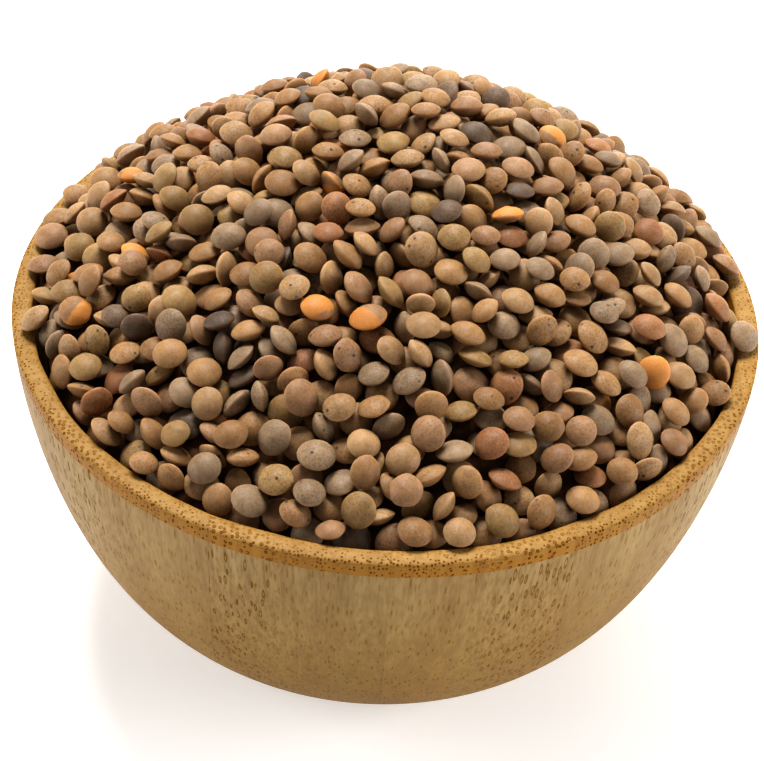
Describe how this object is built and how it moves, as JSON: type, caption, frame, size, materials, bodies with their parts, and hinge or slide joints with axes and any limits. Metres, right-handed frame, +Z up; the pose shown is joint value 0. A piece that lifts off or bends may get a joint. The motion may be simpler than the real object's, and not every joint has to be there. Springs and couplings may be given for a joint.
{
  "type": "bowl of dry lentils",
  "caption": "Round turned bamboo bowl on a flat base, heaped above its rim with dry brown lentils.",
  "frame": {"origin": "centre of the flat base of the bowl, on the surface it stands on", "axes": "+Z up along the axis of the bowl, -Y towards the front as first seen, +X to the right"},
  "size_m": [0.11, 0.11, 0.0784],
  "materials": {
    "bamboo": "satin oiled bamboo, golden on the lip and paler on the wall",
    "dry_lentils": "dry matt seed skins, in tan, grey-brown, rosy and olive brown"
  },
  "bodies": {
    "root": {"bowl": "bamboo", "lentils": "dry_lentils"}
  },
  "joints": []
}
